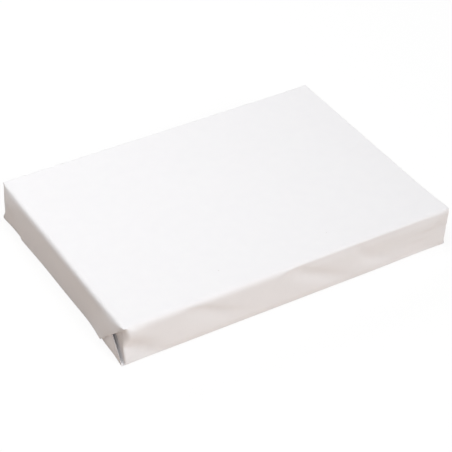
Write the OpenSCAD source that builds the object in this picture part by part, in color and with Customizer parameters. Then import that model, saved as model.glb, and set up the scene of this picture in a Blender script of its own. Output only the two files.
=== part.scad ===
// A ream of paper in its plain white wrapper. One sheet of wrapping paper goes
// round the stack, laps on itself underneath and is folded shut over both ends:
// the sides are tucked in first, then the lower flap goes up and the upper one down.
// Origin: centre of the underside. +X along the length, +Z up. Millimetres.

/* [Stack] */
// Length of the sheets, along X
sheet_l = 420; // [297:1:594]
// Width of the sheets, along Y
sheet_w = 297; // [210:1:420]
// Height of the pressed stack
stack_h = 50.5; // [30:0.5:60]

/* [Wrapper] */
// Room that the wrapper takes on each side of the stack, its paper and air
wrap_room = 0.4; // [0.2:0.1:1]
// Softness of the four long edges, as a radius
long_edge_r = 3.6; // [1.5:0.1:4.5]
// Radius of the four upright edges, where the sides turn in over the ends
corner_r = 1.2; // [0.8:0.1:2]
// Radius of the fold where a flap turns over the end of the stack
end_edge_r = 0.8; // [0.4:0.1:0.9]

/* [End folds] */
// Slope of the upper flap's slanted folds, from the horizontal
upper_slope = 45; // [40:1:50]
// Slope of the lower flap's slanted folds, from the horizontal
lower_slope = 57; // [52:1:65]
// Height of the upper flap's cut edge above the underside
upper_foot = 0.9; // [0.5:0.1:3]
// Drop of the lower flap's cut edge below the top, out of sight
lower_head = 6; // [4:0.5:15]
// Thickness of the lower flap, its layers pressed together
lower_t = 0.5; // [0.4:0.1:0.8]
// Thickness of the upper flap, its layers pressed together
upper_t = 0.5; // [0.4:0.1:0.8]
// Swelling of a slanted fold past each face of its flap
fold_swell = 0.12; // [0.08:0.01:0.2]
// Gap that stays open between the tucked side and the lower flap's slanted fold
pocket_gap = 1.1; // [0.6:0.1:1.6]
// How far the pocket behind the lower flap's fold reaches in, at its top
lower_pocket = 10; // [5:0.5:15]
// How far the pocket behind the upper flap's fold reaches in, at its lower end
upper_pocket = 4; // [2:0.5:6]

/* [Lap seam] */
// Distance of the lap's cut edge from the middle of the underside
seam_y = 44; // [20:1:80]
// Step at the lap's cut edge
seam_step = 0.3; // [0.2:0.1:0.6]

/* [Hollows in the front side] */
// Depth of the hollows that the loose wrapper has been pressed into
hollow_depth = 1.3; // [0.8:0.1:2]
// Radius across each hollow, a larger one being wider and flatter
hollow_r = 110; // [80:5:160]

/* [Hidden] */
$fn = 64;
paper_white = [0.95, 0.945, 0.935];

pack_l = sheet_l + 2 * wrap_room;
pack_w = sheet_w + 2 * wrap_room;
pack_h = stack_h + 2 * wrap_room;

// How far the outer face of each flap stands off the tucked sides
lower_stand = pocket_gap + lower_t;
upper_stand = lower_stand + upper_t;

// The slanted folds start where the rounding of the upright edges ends
fold_start = pack_w / 2 - corner_r;
upper_run = (pack_h - upper_foot) / tan(upper_slope);
lower_top = pack_h - lower_head;
lower_run = lower_top / tan(lower_slope);

// Each hollow is a long dent that starts round and deep and runs out in the face
// of the front side. Its start and its end, each as
// [share of half the length, share of the height]
hollows = [
    [[-1.00, 0.46], [-0.74, 0.22]],
    [[-0.58, 0.80], [-0.24, 0.38]],
    [[0.10, 0.78], [0.40, 0.30]],
    [[0.47, 0.82], [0.86, 0.40]],
    [[1.00, 0.16], [0.84, 0.60]]
];

past = 1; // reach of a cutter past the face that it opens

// A rectangle with round corners, centred on X and standing on the X axis
module soft_rectangle(w, h, r) {
    translate([r - w / 2, 0]) square([w - 2 * r, h]);
    translate([-w / 2, r]) square([w, h - 2 * r]);
    for (x = [r - w / 2, w / 2 - r], z = [r, h - r])
        translate([x, z]) circle(r);
}

// Runs a YZ outline along X, from one place to another
module along_x(from, to) {
    translate([from, 0, 0])
        rotate([90, 0, 90])
            linear_extrude(to - from) children();
}

// Runs an XZ outline along Y over the whole width
module along_y() {
    translate([0, pack_w / 2, 0])
        rotate([90, 0, 0])
            linear_extrude(pack_w) children();
}

// The same folds on both ends and at both sides of each end
module four_corners() {
    for (end = [0, 1], side = [0, 1])
        mirror([end, 0, 0])
            mirror([0, side, 0])
                children();
}

// The pack with its sides tucked flat over the two ends
module tucked_body() {
    intersection() {
        along_x(-pack_l / 2, pack_l / 2) soft_rectangle(pack_w, pack_h, long_edge_r);
        along_y() soft_rectangle(pack_l, pack_h, end_edge_r);
        translate([0, -pack_w / 2, 0])
            linear_extrude(pack_h) soft_rectangle(pack_l, pack_w, corner_r);
    }
}

// A flap on both ends at once, from its outline. It turns over the edge
// of the stack with the fold's radius and its outer face stands off
module flaps(stand) {
    intersection() {
        along_x(-pack_l / 2 - stand, pack_l / 2 + stand) intersection() {
            soft_rectangle(pack_w, pack_h, long_edge_r);
            children();
        }
        along_y() soft_rectangle(pack_l + 2 * stand, pack_h, end_edge_r);
    }
}

// Outline of the lower flap, folded up first
module lower_outline() {
    polygon([
        [-fold_start, 0],
        [fold_start, 0],
        [fold_start - lower_run, lower_top],
        [lower_run - fold_start, lower_top]
    ]);
}

// Outline of the upper flap, folded down last and glued
module upper_outline() {
    polygon([
        [-fold_start, pack_h],
        [fold_start, pack_h],
        [fold_start - upper_run, upper_foot],
        [upper_run - fold_start, upper_foot]
    ]);
}

// The swollen edge that paper keeps where it is folded back on itself,
// up the slope from a point beside the upright edge, at one corner
module slanted_fold(stand, thickness, foot_y, foot_z, lean, length) {
    intersection() {
        translate([pack_l / 2 + stand - thickness / 2, foot_y, foot_z])
            rotate([lean, 0, 0])
                cylinder(h = length, r = thickness / 2 + fold_swell);
        along_x(0, pack_l) soft_rectangle(pack_w, pack_h, long_edge_r);
        along_y() soft_rectangle(pack_l + 2 * (stand + fold_swell), pack_h, end_edge_r);
    }
}

// The open pocket behind the lower flap's slanted fold, closed at the corner
module lower_pocket_cut() {
    along_x(pack_l / 2, pack_l / 2 + pocket_gap)
        polygon([
            [fold_start, end_edge_r],
            [fold_start - lower_run, lower_top],
            [fold_start - lower_run - lower_pocket, lower_top]
        ]);
}

// The open pocket behind the upper flap's slanted fold, down to the lower flap
module upper_pocket_cut() {
    along_x(pack_l / 2, pack_l / 2 + lower_stand)
        polygon([
            [fold_start, pack_h - end_edge_r],
            [fold_start - lower_run, pack_h - lower_run * tan(upper_slope)],
            [fold_start - lower_run - upper_pocket, pack_h - lower_run * tan(upper_slope)]
        ]);
}

// A point on the front side, from its shares of the length and height
function on_front(share, depth) =
    [share.x * pack_l / 2, depth - hollow_r - pack_w / 2, share.y * pack_h];

// One hollow, as a round-nosed cylinder that leans out of the side towards its end
module hollow(start, end) {
    from = on_front(start, hollow_depth);
    run = on_front(end, 0) - from;
    length = norm(run);
    translate(from)
        rotate([0, acos(run.z / length), atan2(run.y, run.x)]) {
            sphere(hollow_r);
            cylinder(h = length, r = hollow_r);
        }
}

// The underside is one layer thinner beyond the lap's cut edge
module seam_cut() {
    translate([-pack_l, seam_y, -past])
        cube([2 * pack_l, pack_w, past + seam_step]);
}

module wrapped_ream() {
    color(paper_white) difference() {
        union() {
            tucked_body();
            flaps(lower_stand) lower_outline();
            flaps(upper_stand) upper_outline();
            four_corners() {
                slanted_fold(lower_stand, lower_t, fold_start, 0, 90 - lower_slope,
                    lower_top / sin(lower_slope));
                slanted_fold(upper_stand, upper_t, fold_start - upper_run, upper_foot,
                    upper_slope - 90, (pack_h - upper_foot) / sin(upper_slope));
            }
        }
        four_corners() {
            lower_pocket_cut();
            upper_pocket_cut();
        }
        for (ends = hollows) hollow(ends[0], ends[1]);
        seam_cut();
    }
}

wrapped_ream();
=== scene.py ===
# %% [markdown]
# # A ream of paper in its white wrapper
# The object is a ream: a block of large sheets of paper with one plain white sheet
# of wrapping paper folded round it and glued underneath.
# The solid that was made first gives the sizes. This script loads it as a fixed
# frame and dresses it with a wrapper that is really folded from one flat sheet.

# %% Load the frame
import math

import bmesh
import bpy
import numpy as np
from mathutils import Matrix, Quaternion, Vector


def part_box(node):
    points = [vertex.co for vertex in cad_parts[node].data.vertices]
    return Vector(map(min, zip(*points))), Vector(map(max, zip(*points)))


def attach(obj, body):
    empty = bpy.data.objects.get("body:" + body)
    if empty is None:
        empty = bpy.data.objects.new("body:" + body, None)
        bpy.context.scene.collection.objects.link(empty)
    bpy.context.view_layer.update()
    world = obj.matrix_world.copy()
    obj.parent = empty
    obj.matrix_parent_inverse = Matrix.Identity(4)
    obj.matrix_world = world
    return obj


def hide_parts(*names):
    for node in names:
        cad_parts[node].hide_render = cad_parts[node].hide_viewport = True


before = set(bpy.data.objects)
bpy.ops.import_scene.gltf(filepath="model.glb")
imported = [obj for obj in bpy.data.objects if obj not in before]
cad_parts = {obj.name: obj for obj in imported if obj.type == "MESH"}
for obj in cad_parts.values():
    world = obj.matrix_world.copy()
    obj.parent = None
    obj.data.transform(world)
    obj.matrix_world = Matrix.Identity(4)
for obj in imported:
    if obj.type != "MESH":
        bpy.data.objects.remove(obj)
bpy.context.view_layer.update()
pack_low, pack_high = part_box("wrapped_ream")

print("solid box in mm:", [round(1000 * s) for s in pack_high - pack_low])

# %% [markdown]
# ## Helpers
# Colours are picked as sRGB hex values, as any paint program shows them, but a
# shader works with linear light. One function turns the first into the second.
# Node materials are long to write, so another function adds one node together
# with its settings and its links.

# %% Colour and node helpers
MM = 0.001


def linear(hex_colour):
    """An sRGB hex colour as linear red, green, blue and full alpha."""
    parts = [int(hex_colour[i:i + 2], 16) / 255 for i in (1, 3, 5)]
    return [s / 12.92 if s <= 0.04045 else ((s + 0.055) / 1.055) ** 2.4 for s in parts] + [1]


def add_node(tree, kind, inputs=None, **settings):
    """Adds a node. An input is a plain value, or another node's output to link."""
    node = tree.nodes.new(kind)
    for name, value in settings.items():
        setattr(node, name, value)
    for name, value in (inputs or {}).items():
        if isinstance(value, bpy.types.NodeSocket):
            tree.links.new(value, node.inputs[name])
        else:
            node.inputs[name].default_value = value
    return node


def new_material(name):
    """An empty node material with its output, as (material, tree, output)."""
    material = bpy.data.materials.new(name)
    material.use_nodes = True
    material.node_tree.nodes.clear()
    return material, material.node_tree, add_node(material.node_tree, "ShaderNodeOutputMaterial")


def show(name, data):
    """Puts a mesh, lamp or camera into the scene as an object at the origin."""
    thing = bpy.data.objects.new(name, data)
    bpy.context.scene.collection.objects.link(thing)
    return thing


# %% [markdown]
# ## Camera
# A product picture is taken from above and from a little way off, so that the
# edges stay nearly parallel. A camera could be set by eye, but then every edge would
# be a little off. So its place and its turn were worked out from the corners of the
# pack, and a long lens keeps the same perspective.

# %% Camera
CAMERA_PLACE = Vector((-785.1, -1263.5, 1164.5)) * MM
CAMERA_HEADING = math.radians(31.975)
CAMERA_DIP = math.radians(37.891)
CAMERA_ROLL = math.radians(1.626)
LENS_MM = 128.15

looking = Vector((
    math.sin(CAMERA_HEADING) * math.cos(CAMERA_DIP),
    math.cos(CAMERA_HEADING) * math.cos(CAMERA_DIP),
    -math.sin(CAMERA_DIP),
))
camera = show("photo_camera", bpy.data.cameras.new("photo_camera"))
camera.data.lens = LENS_MM
camera.data.sensor_width = 36
camera.data.clip_end = 50
camera.location = CAMERA_PLACE
camera.rotation_mode = "QUATERNION"
camera.rotation_quaternion = (
    looking.to_track_quat("-Z", "Y") @ Quaternion((0, 0, 1), CAMERA_ROLL)
)
bpy.context.scene.camera = camera
bpy.context.scene.view_settings.view_transform = "Standard"
print("camera looks along", [round(c, 3) for c in looking])

# %% [markdown]
# ## Floor and background
# The pack stands on a white sweep that the picture shows without any tone. The
# lamps and the paper see a warm pale grey floor that throws soft light up at the
# sides. The camera sees it as nearly white, with a faint soft shadow still in it.
# So the floor has two looks, and the kind of ray decides which one counts.

# %% Floor
FLOOR_BOUNCE = "#C8B6A8"
FLOOR_SEEN = "#6E6E6E"
FLOOR_GLOW = 0.86
FLOOR_SIDE = 12


def seen_by_camera(tree):
    """1 for rays that show a surface to the camera, also by a mirror or a pane."""
    sight = add_node(tree, "ShaderNodeLightPath")
    first = add_node(tree, "ShaderNodeMath", {
        0: sight.outputs["Is Camera Ray"], 1: sight.outputs["Is Glossy Ray"]},
        operation="MAXIMUM")
    return add_node(tree, "ShaderNodeMath", {
        0: first.outputs[0], 1: sight.outputs["Is Transmission Ray"]},
        operation="MAXIMUM").outputs[0]


floor_mesh = bpy.data.meshes.new("studio_floor")
bm = bmesh.new()
bmesh.ops.create_grid(bm, x_segments=4, y_segments=4, size=FLOOR_SIDE / 2)
bm.to_mesh(floor_mesh)
bm.free()
floor = show("studio_floor", floor_mesh)

painted, tree, output = new_material("painted white studio floor")
bounce = add_node(tree, "ShaderNodeBsdfDiffuse", {"Color": linear(FLOOR_BOUNCE)})
grey = add_node(tree, "ShaderNodeBsdfDiffuse", {"Color": linear(FLOOR_SEEN)})
glow = add_node(tree, "ShaderNodeEmission", {"Strength": FLOOR_GLOW})
white = add_node(tree, "ShaderNodeAddShader", {0: grey.outputs[0], 1: glow.outputs[0]})
look = add_node(tree, "ShaderNodeMixShader", {
    0: seen_by_camera(tree), 1: bounce.outputs[0], 2: white.outputs[0]})
tree.links.new(look.outputs[0], output.inputs["Surface"])
floor_mesh.materials.append(painted)
print("floor side in m:", FLOOR_SIDE)

# %% [markdown]
# ## Light
# Four soft lamps and a weak even room light. The widest one shines from the front
# and a little from the right, so it rakes over the hollows of the long side. Two
# nearer ones, low on the left and overhead, make the long side and the top fade a
# little to the right. One stands behind. It adds to the top and not to the front,
# and so no bright line forms where the long top edge turns towards the front lamp.
# The short end faces none of them and stays in warm shade.
# The sum on the top is about 1, so a colour renders about as it is written.

# %% Room light and lamps
ROOM_STRENGTH = 0.2
FRONT_STRENGTH = 1.39
FRONT_FROM = Vector((0.3, -0.8, 0.5))
FRONT_SOFTNESS = math.radians(34)
LAMP_TARGET = Vector((0, 0, 0.03))
# Each near lamp as (name, place, width, height, watts), in metres
NEAR_LAMPS = [
    ("low_lamp", Vector((-0.3, -1.1, 0.3)), 0.5, 0.4, 0.75),
    ("overhead_lamp", Vector((-0.25, -0.05, 1.3)), 1.0, 1.0, 8.7),
    ("back_lamp", Vector((-0.4, 2.2, 1.1)), 1.8, 0.8, 21.0),
]

world = bpy.data.worlds.new("studio room")
bpy.context.scene.world = world
world.use_nodes = True
tree = world.node_tree
tree.nodes.clear()
output = add_node(tree, "ShaderNodeOutputWorld")
room = add_node(tree, "ShaderNodeBackground", {"Color": (1, 1, 1, 1), "Strength": ROOM_STRENGTH})
white = add_node(tree, "ShaderNodeBackground", {"Color": (1, 1, 1, 1), "Strength": 1})
mixed = add_node(tree, "ShaderNodeMixShader", {
    0: seen_by_camera(tree), 1: room.outputs[0], 2: white.outputs[0]})
tree.links.new(mixed.outputs[0], output.inputs["Surface"])

front = show("front_lamp", bpy.data.lights.new("front_lamp", "SUN"))
front.data.energy = FRONT_STRENGTH
front.data.angle = FRONT_SOFTNESS
front.rotation_mode = "QUATERNION"
front.rotation_quaternion = FRONT_FROM.to_track_quat("Z", "Y")

for name, place, width, height, watts in NEAR_LAMPS:
    lamp = show(name, bpy.data.lights.new(name, "AREA"))
    lamp.data.shape = "RECTANGLE"
    lamp.data.size = width
    lamp.data.size_y = height
    lamp.data.energy = watts
    lamp.location = place
    lamp.rotation_mode = "QUATERNION"
    lamp.rotation_quaternion = (place - LAMP_TARGET).to_track_quat("Z", "Y")
    distance = (place - LAMP_TARGET).length
    print(name, "gives", round(watts / (math.pi * distance) ** 2, 2), "to a surface that faces it")

# %% [markdown]
# ## The wrapper, lying flat
# The real wrapper is one rectangle of paper. It could be modelled as a box with
# details added, but the folds at the ends, with their tucked triangles and open
# pockets, are what make a wrapped ream. So the sheet is made flat, as a grid, and
# every point of it is then folded to its place, as the machine does it.
# Along the sheet, P runs once round the pack: from the hidden lap underneath, up
# the back, over the top, down the front and back underneath. V runs along the pack.
# The grid is finer where the paper bends.

# %% Sizes of the pack and of the flat sheet, in millimetres
# The length of the stack alone. The folds at the ends stand past it
PACK_L = 420.8
PACK_W = 1000 * (pack_high.y - pack_low.y)
PACK_H = 1000 * (pack_high.z - pack_low.z)
HALF_L = PACK_L / 2
HALF_W = PACK_W / 2
# How far the sheet reaches past each end of the stack
OVERHANG = 50.4
# Where the two cut edges of the lap lie underneath, from the middle
INNER_LAP_Y = 19.0
OUTER_LAP_Y = 44.0

# Places along P of the four long edges, and of the sheet's second cut edge
BACK_LOW = HALF_W - INNER_LAP_Y
BACK_HIGH = BACK_LOW + PACK_H
FRONT_HIGH = BACK_HIGH + PACK_W
FRONT_LOW = FRONT_HIGH + PACK_H
SHEET_END = FRONT_LOW + HALF_W + OUTER_LAP_Y
print("flat sheet in mm:", round(SHEET_END), "x", round(PACK_L + 2 * OVERHANG))

# %% Where the rows and columns of the grid lie
# Beside every edge of the pack, rows and columns lie this far from it
EDGE_STOPS = [0, 0.35, 0.8, 1.4, 2.1, 2.9, 3.8, 4.8, 6.0, 7.5, 9.5]
# Elsewhere they lie this far apart
BOTTOM_STEP = 8
BACK_STEP = 3.2
TOP_STEP = 7
FRONT_STEP = 2.2
FLAP_STEP = 2.4
ALONG_STEP = 3


def stops(start, end, step, fine_start=True, fine_end=True):
    """Places from start to end, a step apart, finer next to an edge of the pack."""
    left = [start + s for s in EDGE_STOPS] if fine_start else [start]
    right = [end - s for s in reversed(EDGE_STOPS)] if fine_end else [end]
    count = max(1, round((right[0] - left[-1]) / step))
    middle = np.linspace(left[-1], right[0], count + 1)[1:-1]
    return left + list(middle) + right


def joined(*runs):
    """Runs of stops one after the other, without the doubles where they meet."""
    return sorted({round(s, 4) for run in runs for s in run})


P_STOPS = joined(
    stops(0, BACK_LOW, BOTTOM_STEP, fine_start=False),
    stops(BACK_LOW, BACK_HIGH, BACK_STEP),
    stops(BACK_HIGH, FRONT_HIGH, TOP_STEP),
    stops(FRONT_HIGH, FRONT_LOW, FRONT_STEP),
    stops(FRONT_LOW, SHEET_END, BOTTOM_STEP, fine_end=False),
)
V_STOPS = joined(
    stops(-HALF_L - OVERHANG, -HALF_L, FLAP_STEP, fine_start=False),
    stops(-HALF_L, HALF_L, ALONG_STEP),
    stops(HALF_L, HALF_L + OVERHANG, FLAP_STEP, fine_end=False),
)

# %% The flat grid
bm = bmesh.new()
columns = len(V_STOPS) - 1
rows = len(P_STOPS) - 1
bmesh.ops.create_grid(bm, x_segments=columns, y_segments=rows, size=0.5)
for vert in bm.verts:
    column = round((vert.co.x + 0.5) * columns)
    row = round((vert.co.y + 0.5) * rows)
    vert.co = (V_STOPS[column], P_STOPS[row], 0)
print("grid:", columns, "columns and", rows, "rows,", len(bm.faces), "faces")

# %% [markdown]
# ## Cutting in the slanted folds
# When a side is tucked in over the end, the top and the bottom panel each fold
# along a line at 45 degrees from the corner of the pack. Rows and columns don't
# follow that line, so the grid is cut along it with planes: one on the fold and
# some on each side, because the paper turns back on itself there in a small round.

# %% Cuts beside the slanted folds
# Distances of the cuts from the fold, in millimetres
FOLD_CUTS = [-1.1, -0.8, -0.55, -0.35, -0.2, -0.08, 0, 0.08, 0.2, 0.35, 0.55, 0.8, 1.1]
FOLD_EDGES = [(BACK_LOW, -1), (BACK_HIGH, 1), (FRONT_HIGH, -1), (FRONT_LOW, 1)]
# Only faces this near to a slanted fold are cut
CUT_REACH = 5
CUT_MARGIN = 4


def overhang_geometry(end, edge, way):
    """Faces of one panel's overhang near one corner, with their edges and points."""
    faces = []
    for face in bm.faces:
        middle = face.calc_center_median()
        past_end = end * middle.x - HALF_L
        from_edge = way * (middle.y - edge)
        in_panel = past_end > 0 and 0 < from_edge < OVERHANG + CUT_MARGIN
        if in_panel and abs(from_edge - past_end) < CUT_REACH:
            faces.append(face)
    edges = {e for face in faces for e in face.edges}
    points = {v for face in faces for v in face.verts}
    return faces + list(edges) + list(points)


for end in (-1, 1):
    for edge, way in FOLD_EDGES:
        for cut in FOLD_CUTS:
            across = cut * math.sqrt(2)
            bmesh.ops.bisect_plane(
                bm, geom=overhang_geometry(end, edge, way), dist=0.0005,
                plane_co=(end * HALF_L, edge + way * across, 0), plane_no=(-end, way, 0))
bmesh.ops.triangulate(bm, faces=[f for f in bm.faces if len(f.verts) > 4])
print("after the cuts:", len(bm.faces), "faces")

# %% [markdown]
# ## Folding
# Each point of the sheet belongs to one corner of the pack's cross-section. T is
# its distance from that corner: above 0 on the top or bottom panel, below 0 on a
# side. D is its distance past the end of the stack, below 0 while it still lies on
# the stack. All the folds are written once for such a corner and then mirrored.

# %% Small shaping functions


def ease(t):
    """0 up to t = 0, 1 from t = 1 on, and a soft S between them."""
    t = np.clip(t, 0, 1)
    return t * t * (3 - 2 * t)


def mix(a, b, share):
    return a + (b - a) * share


def bump(distance, width):
    """1 at distance 0, falling softly to nothing at about twice the width."""
    return np.exp(-(distance / width) ** 2)


def track(value, *stops_and_heights):
    """A smooth line through (place, height) pairs."""
    places, heights = zip(*stops_and_heights)
    places = np.array(places, float)
    heights = np.array(heights, float)
    index = np.clip(np.searchsorted(places, value) - 1, 0, len(places) - 2)
    share = (value - places[index]) / (places[index + 1] - places[index])
    return mix(heights[index], heights[index + 1], ease(share))


def round_edge(t, r):
    """A point of a rounded edge, as (inwards from the side, inwards from the panel)."""
    turn = math.pi / 4 * (1 - np.clip(t / r, -1, 1))
    side = np.where(np.abs(t) < r, r - r * np.sin(turn), np.maximum(t, 0))
    panel = np.where(np.abs(t) < r, r - r * np.cos(turn), np.maximum(-t, 0))
    return side, panel


def turn_over_end(d, r):
    """How far a panel has come along the pack and dropped over its end, at d."""
    turn = math.pi / 4 * (1 + np.clip(d / r, -1, 1))
    along = np.where(np.abs(d) < r, r * np.sin(turn) - r, np.minimum(d, 0))
    drop = np.where(np.abs(d) < r, r - r * np.cos(turn), np.maximum(d, 0))
    return along, drop


# %% [markdown]
# ### How far each layer stands off the stack
# The layers lie over each other from the inside out: the tucked side, the triangle
# of the lower flap, the lower flap, the triangle of the upper flap and the upper
# flap. The folds aren't pressed hard, so the lower flap's slanted fold stands up
# and leaves the dark slit that the picture shows. The slit is widest where the
# two slanted folds cross. Each of the four corners opens a little differently.

# %% Where the slanted folds lie, and how far each corner stands open
# How far a slanted fold runs in from the side for each millimetre of height
LOWER_LEAN = 0.65
UPPER_LEAN = 1.0
CROSS_Z = PACK_H / (1 + LOWER_LEAN)
CROSS_Y = PACK_H - CROSS_Z
# The corners as (end, side). The near left one is in view and stands open most
OPENING = {(-1, -1): 1.0, (-1, 1): 0.62, (1, -1): 0.42, (1, 1): 0.55}
print("the slanted folds cross at", round(CROSS_Z, 1), "mm above the floor")


# %% Stand-off of the layers
EAR_STAND = 0.2
EAR_SINKS = 1.1
LOWER_REST = 0.7
UPPER_REST = 0.5
TWO_PLIES = 0.22
# Radius of a slanted fold, and what it gains where the folds cross
FOLD_R = 0.2
CROSSING_ADDS = 0.12
CROSSING_SPREAD = 16
# How far from its slanted fold a flap is still lifted by it
LOWER_LIFT_SPREAD = 15
UPPER_LIFT_SPREAD = 17


def ear_stand(opening):
    """The tucked side. At an open corner it has sunk in a little."""
    return EAR_STAND - EAR_SINKS * opening ** 2


def lower_stand(y_in, z, opening):
    """Outer face of the lower flap, off the end of the stack."""
    from_fold = np.abs(y_in - LOWER_LEAN * z) / math.hypot(1, LOWER_LEAN)
    # At the floor, at the crossing and under the top
    at_fold = track(z, (0, 1.4 + 1.6 * opening), (CROSS_Z, 1.1 + 1.9 * opening), (PACK_H, 0.5))
    rest = LOWER_REST - 0.35 * ease((z - 38) / 12)
    return mix(rest, at_fold, bump(from_fold, LOWER_LIFT_SPREAD))


def fold_round(height, opening):
    """Radius of the round in which a slanted fold turns back, at a height on it."""
    return FOLD_R + CROSSING_ADDS * opening * bump(height - CROSS_Z, CROSSING_SPREAD)


def upper_stand(y_in, z, opening):
    """Outer face of the upper flap, off the end of the stack."""
    drop = PACK_H - z
    from_fold = np.abs(y_in - drop) / math.sqrt(2)
    foot = 1.3 + 1.2 * opening ** 2
    # Under the top, at the crossing, below it and at the cut edge
    at_fold = track(drop, (0, 0.5), (CROSS_Y, 1.4 + 1.7 * opening), (37, 1.9), (OVERHANG, foot))
    rest = UPPER_REST + 1.0 * ease(y_in / 20)
    lifted = bump(from_fold, UPPER_LIFT_SPREAD) * ease(y_in / 6 + 0.35)
    flap = mix(rest, at_fold, lifted)
    over = lower_stand(y_in, z, opening) + TWO_PLIES + 2 * fold_round(z, opening)
    return np.maximum(flap, over * ease(y_in / 8))


# %% [markdown]
# ### One corner of the pack
# On the stack the point lies on the rounded edge. Past the end it lies on the flap,
# on the triangle tucked behind it, or on the tucked side. Over the first few
# millimetres one shape flows into the other.

# %% Fold one corner
# Past the end, the folded shape takes over from the stack's within this distance
CORNER_SOFTNESS = 3.0
# Beside a long edge, panel and side flow into each other within this distance
MEET = 3.0
# The layers begin to stand off the stack this far before its end
STAND_START = 8
# Gap from the tucked side to the triangle over it, and from the lower flap to the
# triangle over that
EAR_GAP = 0.15
TRIANGLE_GAP = 0.12
# How far the tucked paper has slipped in under the upper and the lower panel
UPPER_TUCK = 0.8
LOWER_TUCK = 0.35
# How far the gathers in the lower flap spread, and the bend of a triangle at its fold
GATHER_SPREAD = 45
BEND_SPREAD = 20
NEARLY_0 = 1e-6


def fold_corner(t, d, upper, edge_r, flap_r, side_r, opening, ply_in):
    """Sheet points near a corner, as (past the end, in from the side, in from the panel)."""
    lean = UPPER_LEAN if upper else LOWER_LEAN
    on_panel = ease((t + MEET) / (2 * MEET))
    along_panel, drop_panel = turn_over_end(d, flap_r)
    along_side, drop_side = turn_over_end(d, side_r)
    along = mix(along_side, along_panel, on_panel)

    # On the stack: a rounded edge, dropping over the end on both sides of it
    side_in, panel_in = round_edge(t, edge_r)
    stack_side = side_in + drop_side * (1 - on_panel)
    stack_panel = panel_in + drop_panel * on_panel

    # Past the end: flap, tucked triangle or tucked side
    depth = np.maximum(d, NEARLY_0)
    share = np.clip(t / depth, 0, 1)
    gather = (1 - lean) * depth * bump(np.maximum(t - depth, 0), GATHER_SPREAD)
    flap = t >= depth
    ear = t < 0
    triangle_side = depth - (1 - lean) * t + (drop_side - depth) * (1 - share)
    folded_side = np.where(flap, t - gather, np.where(ear, drop_side, triangle_side))
    slipped = UPPER_TUCK if upper else LOWER_TUCK
    tuck = slipped * (1 - bump(depth, 8)) * np.exp(-np.abs(t) / 3)
    folded_panel = np.where(flap, drop_panel, np.where(ear, -t, share * drop_panel)) + tuck
    z = PACK_H - folded_panel if upper else folded_panel

    # The stand of each layer, and the small round at the slanted fold
    ear_out = ear_stand(opening)
    stand_of = upper_stand if upper else lower_stand
    flap_stand = stand_of(folded_side, z, opening)
    bend_r = fold_round(z, opening) * ease(depth / 5)
    at_bend = flap_stand - 2 * bend_r
    if upper:
        under = lower_stand(folded_side, z, opening) + TRIANGLE_GAP
        under = mix(ear_out + EAR_GAP, under, ease((folded_side - LOWER_LEAN * z + 3) / 4))
    else:
        under = np.full_like(t, ear_out + EAR_GAP)
    from_bend = np.abs(t - depth) / math.hypot(1, lean)
    triangle_stand = mix(np.minimum(under, at_bend), at_bend, bump(from_bend, BEND_SPREAD))
    triangle_stand = mix(ear_out, triangle_stand, ease(t / 1.2))
    reach = np.clip(from_bend / np.maximum(bend_r, NEARLY_0), 0, 1) * math.pi / 2
    middle = (flap_stand + triangle_stand) / 2
    half = (flap_stand - triangle_stand) / 2
    stand = np.where(ear, ear_out, middle + np.where(flap, 1, -1) * half * np.sin(reach))
    push = np.where(ear | (reach >= math.pi / 2), 0, from_bend - bend_r * (1 - np.cos(reach)))
    folded_side = folded_side - push / math.hypot(1, lean)
    folded_panel = folded_panel + push * lean / math.hypot(1, lean)

    # From the stack's shape to the folded one
    gone_over = ease(d / CORNER_SOFTNESS)
    side = mix(stack_side, folded_side, gone_over)
    panel = mix(stack_panel, folded_panel, gone_over)
    stand = stand - ply_in * on_panel
    return along + stand * ease((d + STAND_START) / STAND_START), side, panel


# %% [markdown]
# ### Hollows and creases
# The wrapper is a little larger than the stack. On the long side it has been
# pressed in by hand, in long soft dents that run down to the right. They could be
# painted with a sculpting brush, but then they couldn't be measured and set again.
# So each is given as a path of (place along X, distance below the top edge, depth)
# and its widths above and below that path, in millimetres. A depth below 0 is a
# place that bulges out.

# %% Dents in the long sides
FRONT_DENTS = [
    ([(-213, 9, -2.0), (-204, 11, -1.7), (-196, 14, -1.2), (-188, 19, -0.7), (-180, 26, -0.2)], 9, 11),
    ([(-208, 27, 2.2), (-203, 29, 4.4), (-196, 33, 4.9), (-186, 38, 3.5), (-175, 44, 1.3)], 10.5, 13),
    ([(-210, 27, 0.6), (-204, 31, 0.9), (-197, 35, 0.3)], 1.8, 3),
    ([(-138, 8, 0.4), (-124, 11, 1.5), (-111, 15, 2.1), (-98, 22, 2.0), (-82, 29, 1.3), (-60, 36, 0.3)],
     5, 13),
    ([(-1, 9, 0.8), (11, 13, 2.2), (24, 20, 2.4), (38, 27, 2.4), (54, 35, 1.7), (74, 43, 0.5)], 7.5, 9),
    ([(86, 10, 0.6), (98, 24, 1.2), (110, 33, 1.2), (132, 40, 0.5)], 8, 7),
    ([(94, 25, 0.8), (120, 28, 2.2), (150, 32, 1.7), (180, 37, 0.9), (208, 38, 0.3)], 17, 17),
    ([(207, 16, 1.0), (199, 22, 2.0), (188, 33, 1.8), (178, 44, 0.9)], 8, 26),
]
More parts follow.
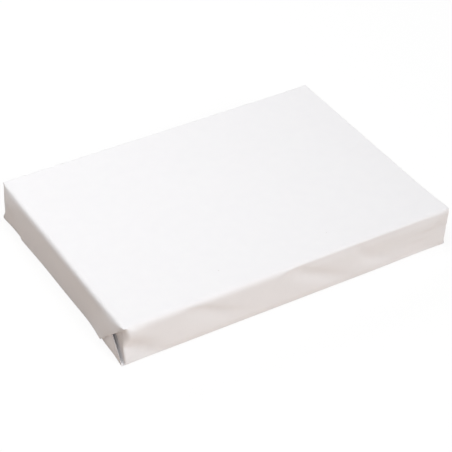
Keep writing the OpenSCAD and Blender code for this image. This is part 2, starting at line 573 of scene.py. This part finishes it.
# On the top: places along X and towards the front
TOP_DENTS = [
    ([(-10, 147, 0.1), (2, 149, 0.9), (16, 149, 0.2)], 4, 6),
    ([(79, 103, 0.1), (98, 110, 0.45), (153, 136, 0.4), (194, 150, 0.1)], 6, 4),
    ([(-40, -120, 0.1), (-12, -96, 0.3), (30, -86, 0.1)], 9, 5),
]
BACK_DENTS = [
    ([(206, 22, 1.6), (186, 34, 1.1), (160, 44, 0.3)], 10, 10),
    ([(118, 14, 0.5), (92, 24, 1.1), (60, 33, 0.6)], 9, 11),
    ([(-14, 12, 0.4), (-40, 24, 1.0), (-72, 34, 0.6)], 10, 11),
    ([(-130, 16, 0.6), (-152, 26, 1.1), (-180, 38, 0.6)], 9, 10),
]


def pressed_in(x, s, dents):
    """Depth of all the dents at places x and s of a side, below 0 for a bulge."""
    depth = np.zeros_like(x)
    for path, above, below in dents:
        here = np.zeros_like(x)
        for (x0, s0, d0), (x1, s1, d1) in zip(path, path[1:]):
            run = np.clip(((x - x0) * (x1 - x0) + (s - s0) * (s1 - s0))
                          / ((x1 - x0) ** 2 + (s1 - s0) ** 2), 0, 1)
            dx = x - mix(x0, x1, run)
            ds = s - mix(s0, s1, run)
            width = np.where(ds < 0, above, below)
            this = mix(d0, d1, run) * bump(np.hypot(dx, ds), width)
            here = np.where(np.abs(this) > np.abs(here), this, here)
        depth = depth + here
    return depth


RIPPLE_WAVES = 7
SHORTEST_WAVE = 45
LONGEST_WAVE = 150


def ripple(a, b, seed):
    """Slow waves of about -1 to 1 over two directions, for paper that isn't stretched."""
    rng = np.random.default_rng(seed)
    total = np.zeros_like(a)
    for _ in range(RIPPLE_WAVES):
        wave = rng.uniform(SHORTEST_WAVE, LONGEST_WAVE)
        heading = rng.uniform(0, 2 * math.pi)
        start = rng.uniform(0, 2 * math.pi)
        total += np.sin((a * math.cos(heading) + b * math.sin(heading)) * 2 * math.pi / wave + start)
    return total / (RIPPLE_WAVES / 2)


print("dents:", len(FRONT_DENTS), "in front,", len(TOP_DENTS), "on top,", len(BACK_DENTS), "behind")

# %% [markdown]
# ### Folding the whole sheet
# Every point looks up its nearest long edge of the pack, and on which end and which
# side it lies. Then all the points of one corner are folded in one step. The edges
# that are rolled in the next step start nearly sharp here, so that all the layers
# that lie there begin in one place.

# %% Which corner each point belongs to
flat = np.array([vert.co for vert in bm.verts])
sheet_v, sheet_p = flat[:, 0], flat[:, 1]
end_sign = np.where(sheet_v < 0, -1, 1)
past_end = np.abs(sheet_v) - HALF_L

BACK_BOTTOM, BACK_TOP, FRONT_TOP, FRONT_BOTTOM = range(4)
corner_p = np.array([BACK_LOW, BACK_HIGH, FRONT_HIGH, FRONT_LOW])
corner_way = np.array([-1, 1, -1, 1])
nearest = np.abs(sheet_p[:, None] - corner_p[None, :]).argmin(axis=1)
# The bottom's outer ply belongs to the front corner all the way to its lap edge
nearest = np.where(sheet_p > FRONT_LOW, FRONT_BOTTOM, nearest)
sheet_t = corner_way[nearest] * (sheet_p - corner_p[nearest])
is_upper = (nearest == BACK_TOP) | (nearest == FRONT_TOP)
side_sign = np.where(nearest <= BACK_TOP, 1, -1)
print("points of the upper corners:", is_upper.sum(), "and of the lower ones:", (~is_upper).sum())

# %% Radii of the edges along the pack and across its ends
NEARLY_SHARP = 0.15
EDGE_R = 0.9
# Away from the ends the long edges are softer
BACK_TOP_ADDS = 0.5
BOTTOM_ADDS = 0.7
# So is the fold of the lower flap, away from the corners
LOWER_FLAP_R = 0.8
LOWER_FLAP_ADDS = 1.6

x_on_stack = np.clip(sheet_v, -HALF_L, HALF_L)
to_end = HALF_L - np.abs(x_on_stack)
away_from_end = 1 - bump(to_end, 12)
edge_r = np.select(
    [nearest == FRONT_TOP, nearest == BACK_TOP],
    [NEARLY_SHARP, EDGE_R + away_from_end * BACK_TOP_ADDS],
    EDGE_R + away_from_end * BOTTOM_ADDS)
flap_r = np.where(
    is_upper, NEARLY_SHARP, LOWER_FLAP_R + LOWER_FLAP_ADDS * ease((sheet_t - 40) / 25))
print("radius of the long edges in mm:", round(edge_r.min(), 2), "to", round(edge_r.max(), 2))

# %% Radii of the upright edges, and the lap underneath
SIDE_EDGE_R = 1.3
# The upright edge at the near left corner is softest 12 mm below the top
SOFTEST = 12
SOFTEST_ADDS = 7
SOFTEST_SPREAD = 13
FOOT_ADDS = 0.8
below_top = np.where(is_upper, np.maximum(-sheet_t, 0), PACK_H - np.maximum(-sheet_t, 0))
at_near_left = (side_sign < 0) * (end_sign < 0)
softer = (SOFTEST_ADDS * bump(below_top - SOFTEST, SOFTEST_SPREAD)
          + FOOT_ADDS * ease((below_top - 8) / 20))
side_r = SIDE_EDGE_R + at_near_left * softer

# The inner ply of the lap lies a little higher than the outer one
PLY_RISE = 0.3
PLY_FADE = 60
y_on_bottom = np.where(nearest == BACK_BOTTOM, HALF_W - sheet_t, 0)
risen = PLY_RISE * (1 - ease((y_on_bottom - OUTER_LAP_Y) / PLY_FADE))
ply_in = np.where(nearest == BACK_BOTTOM, risen, 0)
print("radius of the upright edges in mm:", round(side_r.min(), 1), "to", round(side_r.max(), 1))

# %% Fold every corner
out = np.zeros_like(sheet_t)
side_in = np.zeros_like(sheet_t)
panel_in = np.zeros_like(sheet_t)
for (end, side), opening in OPENING.items():
    for upper in (True, False):
        part = (end_sign == end) & (side_sign == side) & (is_upper == upper)
        out[part], side_in[part], panel_in[part] = fold_corner(
            sheet_t[part], past_end[part], upper, edge_r[part], flap_r[part],
            side_r[part], opening, ply_in[part])

folded = np.zeros_like(flat)
folded[:, 0] = end_sign * (HALF_L + out)
folded[:, 1] = side_sign * (HALF_W - side_in)
folded[:, 2] = np.where(is_upper, PACK_H - panel_in, panel_in)
folded[:, 2] += ply_in * (past_end < 0) * ease(sheet_t / 4)
print("folded box in mm:", [round(c, 1) for c in (*folded.min(axis=0), *folded.max(axis=0))])

# %% [markdown]
# ### Rolling the soft edges
# Along the top, the sheets of the stack have slipped a little and the wrapper turns
# over them in a wide round. A larger radius in the folding would do for one layer,
# but where flaps lie over each other it would push the inner ones through the outer
# ones. So the folded paper is squeezed near each top edge, with all its layers: the
# square edge becomes a quarter of an ellipse, and each layer stays under the next.

# %% A square edge becomes a round one
SHARP_REACH = 0.4


def roll(out, up, reach_out, reach_up, power):
    """Moves points near a square edge at (0, 0) onto a round one. Layers keep their order."""
    across = out / reach_out + 1
    above = up / reach_up + 1
    length = (np.maximum(across, 0) ** power + np.maximum(above, 0) ** power) ** (1 / power)
    beside_edge = (across > 0) & (above > 0)
    pull = np.where(beside_edge, np.maximum(across, above) / np.maximum(length, 1e-9), 1)
    return (across * pull - 1) * reach_out, (above * pull - 1) * reach_up


# %% Roll the top edges of both ends
# How far the round reaches over the top and down the end. The left end is softer
LEFT_REACH = (8.0, 9.5)
RIGHT_REACH = (2.4, 3.0)
# The round begins at the sides of the pack and is full after this distance
SIDE_FADE = 14
# 2 makes an ellipse, and 3 makes a fuller round
END_POWER = 3
# The upper flap of the left end swells a little under its fold
LEFT_SWELL = 1.3
SWELL_SPREAD = 22

y_in = HALF_W - np.abs(folded[:, 1])
from_sides = ease((y_in - 1) / SIDE_FADE)
swell = LEFT_SWELL * from_sides * (end_sign < 0)
at_top = bump(folded[:, 2] - PACK_H, SWELL_SPREAD) * ease((past_end + STAND_START) / STAND_START)
outer_face = HALF_L + swell
for (end, side), opening in OPENING.items():
    part = (end_sign == end) & (side_sign == side)
    outer_face[part] += upper_stand(y_in[part], PACK_H, opening)
end_out, end_up = roll(
    end_sign * folded[:, 0] + swell * at_top - outer_face, folded[:, 2] - PACK_H,
    SHARP_REACH + from_sides * np.where(end_sign < 0, LEFT_REACH[0], RIGHT_REACH[0]),
    SHARP_REACH + from_sides * np.where(end_sign < 0, LEFT_REACH[1], RIGHT_REACH[1]),
    END_POWER)
folded[:, 0] = end_sign * (outer_face + end_out)
folded[:, 2] = PACK_H + end_up
print("the upper flaps stand off the stack by up to", round(outer_face.max() - HALF_L, 1), "mm")

# %% Roll the front's long top edge
# How far the round reaches over the top and down the side. The left half adds to it
FRONT_REACH = (4.6, 2.8)
LEFT_HALF_ADDS = (0.8, 6.2)
END_FADE = 12
FRONT_POWER = 2

left_half = ease((-4 - folded[:, 0]) / 16)
from_ends = ease((HALF_L - np.abs(folded[:, 0]) - 1) / END_FADE)
side_out, side_up = roll(
    -folded[:, 1] - HALF_W, folded[:, 2] - PACK_H,
    SHARP_REACH + from_ends * (FRONT_REACH[0] + LEFT_HALF_ADDS[0] * left_half),
    SHARP_REACH + from_ends * (FRONT_REACH[1] + LEFT_HALF_ADDS[1] * left_half),
    FRONT_POWER)
folded[:, 1] = -HALF_W - side_out
folded[:, 2] = PACK_H + side_up

# On its right half the edge lies further in, from the notch in it to the corner
RIGHT_HALF_IN = 1.0
x, y, z = folded[:, 0].copy(), folded[:, 1].copy(), folded[:, 2].copy()
right_half = ease((x + 8) / 12) * ease((210 - x) / 20)
near_edge = ease((-y - HALF_W + 10) / 10) * ease((z - PACK_H + 14) / 14)
folded[:, 1] += RIGHT_HALF_IN * right_half * near_edge
print("rolled box in mm:", [round(c, 1) for c in (*folded.min(axis=0), *folded.max(axis=0))])

# %% [markdown]
# ### Pressing in the dents
# The dents are soft and shallow, so they are moves of the points, not cuts. They fade
# towards the edges of each side, where the stack of paper holds the wrapper. Slow
# ripples go with them, because the paper isn't stretched. Near the floor both long
# sides are tucked under a little, as the folding machine pulls the paper tight there.

# %% Press the dents and ripples into it
FRONT_RIPPLE = 0.12
BACK_RIPPLE = 0.15
TOP_RIPPLE = 0.16
EDGE_FADE = 7
# Near its right end the front bulges out
RIGHT_BULGE = 1.3
# The long sides are tucked under, and the front a little more at the right
TUCKED_UNDER = 0.9
RIGHT_TUCK_ADDS = 0.7

x, y, z = folded[:, 0].copy(), folded[:, 1].copy(), folded[:, 2].copy()
s = PACK_H - z
on_stack = ease((-past_end + 1) / 4)
away_from_edges = ease((s + 1) / EDGE_FADE) * ease((PACK_H - s + 1) / EDGE_FADE)
near_front = ease((-y - HALF_W + 8) / 8)
near_back = ease((y - HALF_W + 8) / 8)
press_front = pressed_in(x, s, FRONT_DENTS) + FRONT_RIPPLE * (ripple(x, s, 3) + 0.6)
press_front -= RIGHT_BULGE * ease((x - 160) / 50)
press_back = pressed_in(x, s, BACK_DENTS) + BACK_RIPPLE * (ripple(x, s, 4) + 0.6)
tucked_under = TUCKED_UNDER * ease((s - 43) / 9)
tucked_front = tucked_under + RIGHT_TUCK_ADDS * ease((x - 110) / 60) * ease((s - 30) / 22)
folded[:, 1] += near_front * (press_front * away_from_edges + tucked_front)
folded[:, 1] -= near_back * (press_back * away_from_edges + tucked_under)
on_top = ease((z - PACK_H + 8) / 8) * on_stack
folded[:, 2] -= on_top * (TOP_RIPPLE * (ripple(x, y, 5) + 0.8) + pressed_in(x, -y, TOP_DENTS))
print("deepest dent in front in mm:", round(press_front.max(), 1))
print("deepest dent behind in mm:", round(press_back.max(), 1))

# %% [markdown]
# ### A pack is never quite square
# The sheets of a real stack have shifted a little under each other. The whole pack is
# bent by a few millimetres at its ends, where the picture shows that its edges aren't
# straight. Moving the points after the folding takes all the layers along.

# %% Bend the pack a little
RIGHT_WIDER = 2.5
CORNER_OUT = 1.2
CORNER_UP = 1.5
FAR_BOW = 1.7
NEAR_BOW = 0.9
FOOT_BOW = 2.0

folded[:, 1] += RIGHT_WIDER * ((x + HALF_L) / PACK_L) * ((y + HALF_W) / PACK_W)
# The paper stands up and out at the near right corner
at_corner = ease((x - 150) / 60) * ease((-y - 90) / 60)
folded[:, 0] += CORNER_OUT * at_corner * ease(z / 25)
folded[:, 2] += CORNER_UP * at_corner * z / PACK_H
# The left end bows out at its far half and in at its near half, and its near foot sticks out
bow = FAR_BOW * ease((y - 20) / 100) - NEAR_BOW * bump(y + 70, 42)
bow += FOOT_BOW * bump(y + 110, 23) * (1 - z / PACK_H)
bow *= ease((PACK_H - z + 2) / 30) * ease((past_end + 6) / 12)
folded[:, 0] -= np.where(sheet_v < 0, bow, 0)
print("bent box in mm:", [round(c, 1) for c in (*folded.min(axis=0), *folded.max(axis=0))])

# %% [markdown]
# ### What the paper's finish needs to know
# The patterns of the paper run on round its folds, so the material can't use the
# places in the pack. The flat sheet is kept as a UV map in metres, and an attribute
# tells how near each point is to a fold, where the paper is cracked.

# %% Keep the flat sheet's places, and how near each point is to a fold
sheet_map = bm.loops.layers.uv.new("sheet")
for face in bm.faces:
    for loop in face.loops:
        loop[sheet_map].uv = loop.vert.co.xy * MM

FOLD_WIDTH = 2.5
FAR_OFF = 99
to_bend = np.where(past_end > 0, np.abs(sheet_t - past_end) / math.sqrt(2), FAR_OFF)
to_fold = np.minimum(np.minimum(np.abs(sheet_t), np.abs(past_end)), to_bend)
fold_mark = bm.verts.layers.float.new("fold_mark")
for vert, place, distance in zip(bm.verts, folded, to_fold):
    vert[fold_mark] = bump(distance, FOLD_WIDTH)
    vert.co = place * MM
print("points on or beside a fold:", (to_fold < FOLD_WIDTH).sum(), "of", len(to_fold))

# %% [markdown]
# ### Thickness
# Paper has two faces and a cut edge, so the folded surface gets a real thickness
# inwards. The cut edges stay sharp, and all the rest is shaded smooth.

# %% Make the wrapper's mesh
PAPER_T = 0.13

bm.normal_update()
top_faces = [f for f in bm.faces if f.calc_center_median().z > (PACK_H - 1) * MM]
if sum(f.normal.z for f in top_faces) < 0:
    bmesh.ops.reverse_faces(bm, faces=bm.faces)
for face in bm.faces:
    face.smooth = True
for e in bm.edges:
    e.smooth = not e.is_boundary
wrapper_mesh = bpy.data.meshes.new("paper_wrapper")
bm.to_mesh(wrapper_mesh)
bm.free()
wrapper = show("paper_wrapper", wrapper_mesh)
thick = wrapper.modifiers.new("paper thickness", "SOLIDIFY")
thick.thickness = PAPER_T * MM
thick.offset = -1
print("wrapper:", len(wrapper_mesh.vertices), "points,", len(wrapper_mesh.polygons), "faces")
triangles = 2 * sum(len(face.vertices) - 2 for face in wrapper_mesh.polygons)
print("triangles with both faces of the paper, without its cut edges:", triangles)

# %% [markdown]
# ## Paper
# Ream wrap is a bleached kraft paper, machine-glazed on one side and about as
# white as the sheets inside. All its patterns are laid out on the flat sheet, so
# they run on round the folds as they do on real paper. They are, from large to small:
# - clouds of about 14 mm, where the pulp is a little denser,
# - flocks of about 2.5 mm,
# - fibres that lie mostly along the pack, about 6 mm long and 0.7 mm apart. Real
#   ones are thinner than any pixel, so they are drawn coarser and very shallow,
# - here and there a speck of bark, less than 1 mm across.
# At the folds the glaze is cracked, so the paper is rougher and crumbles a little.

# %% Tint of the paper, with its specks
WRAP_WHITE = "#F6F5F6"
WRAP_SHADE = "#F1F0F2"
SPECK_GREY = "#CFCAC6"
CLOUD_SIZE = 14 * MM
FLOCK_SIZE = 2.5 * MM
SPECK_CELL = 48 * MM
SPECK_R = 0.55 * MM
SPECK_SHARE = 0.45

wrap, tree, output = new_material("machine-glazed ream wrap")
sheet = add_node(tree, "ShaderNodeUVMap", uv_map="sheet").outputs[0]
folds = add_node(tree, "ShaderNodeAttribute", attribute_name="fold_mark").outputs["Fac"]

clouds = add_node(tree, "ShaderNodeTexNoise", {
    "Vector": sheet, "Scale": 1 / CLOUD_SIZE, "Detail": 3.0, "Roughness": 0.55}).outputs[0]
flocks = add_node(tree, "ShaderNodeTexNoise", {
    "Vector": sheet, "Scale": 1 / FLOCK_SIZE, "Detail": 2.0, "Roughness": 0.6}).outputs[0]
most = add_node(tree, "ShaderNodeMath", {0: clouds, 1: 0.7}, operation="MULTIPLY").outputs[0]
rest = add_node(tree, "ShaderNodeMath", {0: flocks, 1: 0.3}, operation="MULTIPLY").outputs[0]
density = add_node(tree, "ShaderNodeMath", {0: most, 1: rest}, operation="ADD").outputs[0]
tint = add_node(tree, "ShaderNodeMix", {
    0: density, 6: linear(WRAP_SHADE), 7: linear(WRAP_WHITE)}, data_type="RGBA").outputs[2]

# Every cell of the pattern holds one point. Only the points that drew a low number
# become specks
cells = add_node(tree, "ShaderNodeTexVoronoi", {"Vector": sheet, "Scale": 1 / SPECK_CELL})
draw = add_node(tree, "ShaderNodeSeparateColor", {0: cells.outputs["Color"]}).outputs[0]
inside = add_node(tree, "ShaderNodeMath", {
    0: cells.outputs["Distance"], 1: SPECK_R / SPECK_CELL}, operation="LESS_THAN").outputs[0]
drawn = add_node(tree, "ShaderNodeMath", {
    0: draw, 1: SPECK_SHARE}, operation="LESS_THAN").outputs[0]
speck = add_node(tree, "ShaderNodeMath", {0: inside, 1: drawn}, operation="MULTIPLY").outputs[0]
colour = add_node(tree, "ShaderNodeMix", {
    0: speck, 6: tint, 7: linear(SPECK_GREY)}, data_type="RGBA").outputs[2]
print("nodes for the tint:", len(tree.nodes))

# %% Relief of the fibres and of the cracked folds
FIBRE_LENGTH = 6 * MM
FIBRE_SPACING = 0.7 * MM
FIBRE_HEIGHT = 0.02 * MM
CRUMB_SIZE = 2 * MM
CRUMB_HEIGHT = 0.07 * MM

drawn_out = add_node(tree, "ShaderNodeMapping", {
    "Vector": sheet, "Scale": (1 / FIBRE_LENGTH, 1 / FIBRE_SPACING, 1)}).outputs[0]
fibres = add_node(tree, "ShaderNodeTexNoise", {
    "Vector": drawn_out, "Scale": 1, "Detail": 2.0, "Roughness": 0.55}).outputs[0]
relief = add_node(tree, "ShaderNodeBump", {
    "Height": fibres, "Strength": 0.25, "Distance": FIBRE_HEIGHT}).outputs[0]
grains = add_node(tree, "ShaderNodeTexNoise", {
    "Vector": sheet, "Scale": 1 / CRUMB_SIZE, "Detail": 3.0, "Roughness": 0.6}).outputs[0]
crumbs = add_node(tree, "ShaderNodeMath", {0: grains, 1: folds}, operation="MULTIPLY").outputs[0]
relief = add_node(tree, "ShaderNodeBump", {
    "Height": crumbs, "Strength": 0.4, "Distance": CRUMB_HEIGHT, "Normal": relief}).outputs[0]

# %% Gloss of the glazed side, and the finished paper
GLAZED_ROUGHNESS = 0.5
CRACKED_ADDS = 0.14
cracked = add_node(tree, "ShaderNodeMath", {
    0: folds, 1: CRACKED_ADDS}, operation="MULTIPLY").outputs[0]
glaze = add_node(tree, "ShaderNodeMath", {
    0: cracked, 1: GLAZED_ROUGHNESS}, operation="ADD").outputs[0]
paper = add_node(tree, "ShaderNodeBsdfPrincipled", {
    "Base Color": colour, "Roughness": glaze, "IOR": 1.45,
    "Specular IOR Level": 0.35, "Normal": relief})
tree.links.new(paper.outputs[0], output.inputs["Surface"])
wrapper_mesh.materials.append(wrap)
print("material nodes:", len(tree.nodes))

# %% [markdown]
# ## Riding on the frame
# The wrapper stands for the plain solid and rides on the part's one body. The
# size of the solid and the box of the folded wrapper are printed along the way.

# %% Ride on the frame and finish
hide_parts("wrapped_ream")
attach(wrapper, "root")
